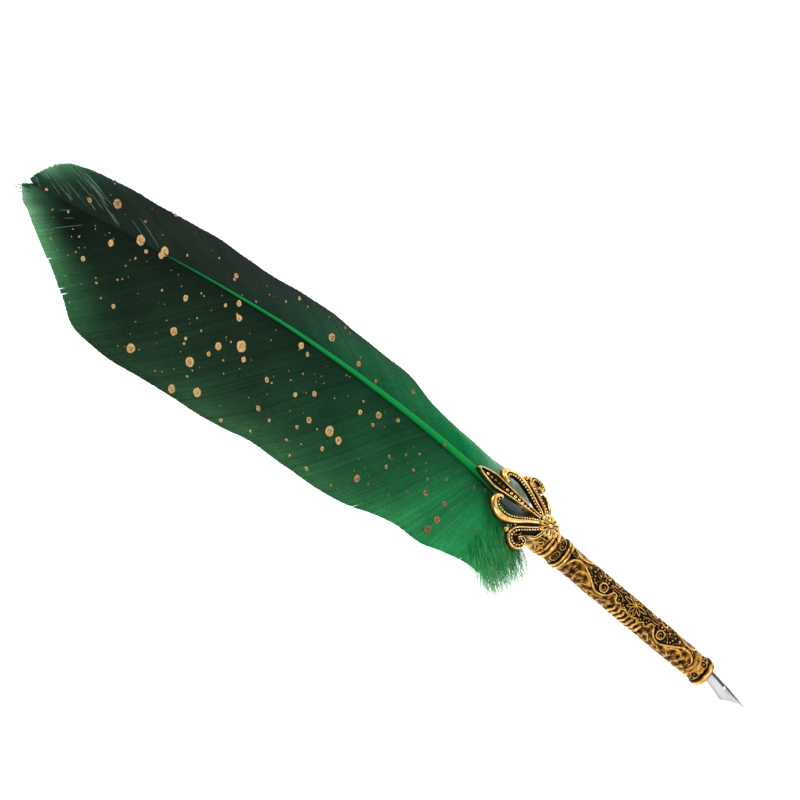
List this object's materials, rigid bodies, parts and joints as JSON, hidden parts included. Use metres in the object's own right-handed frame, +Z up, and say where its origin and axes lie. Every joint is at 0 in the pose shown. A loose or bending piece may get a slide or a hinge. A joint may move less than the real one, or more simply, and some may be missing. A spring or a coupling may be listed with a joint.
{
  "type": "quill pen",
  "caption": "Feather quill dip pen: pointed steel nib pushed into a carved antique-gold holder with a fleur-de-lis crown that carries a long dyed feather.",
  "frame": {"origin": "on the pen's axis at the grip, 40 mm above the nib's point, where the fingers hold the barrel", "axes": "+Z up the pen's axis from nib to feather, -Y out of the crown's front, the wide vane towards -X"},
  "size_m": [0.0611, 0.0135, 0.2944],
  "materials": {
    "antique_gold": "cast and plated antique gold, dark patina in the recesses, rubbed bright on the high spots",
    "steel": "polished spring steel",
    "plug": "black moulded plug",
    "tube_brass": "plain drawn tube",
    "quill": "dyed keratin, satin, bare and greyish at the foot",
    "vane": "dyed feather barbs, emerald at the foot to near black, with gold leaf flecks",
    "down": "loose dyed down"
  },
  "bodies": {
    "holder": {"nib_plug": "plug", "nose_ring": "antique_gold", "nose_collar": "antique_gold", "barrel": "antique_gold", "lower_ring": "antique_gold", "scroll_band": "antique_gold", "upper_ring": "antique_gold", "neck_tube": "tube_brass", "crown_socket": "antique_gold", "rosette": "antique_gold", "centre_petal": "antique_gold", "left_loop": "antique_gold", "left_scroll": "antique_gold", "left_leaf": "antique_gold", "left_ball": "antique_gold", "right_loop": "antique_gold", "right_scroll": "antique_gold", "right_leaf": "antique_gold", "right_ball": "antique_gold", "quill_shaft": "quill", "wide_vane": "vane", "narrow_vane": "vane", "wide_down": "down"},
    "nib": {"nib": "steel"}
  },
  "joints": [
    {"name": "nib_pull", "type": "slide", "parent": "holder", "child": "nib", "axis": [0, 0, -1], "range_m": [0, 0.016]}
  ]
}
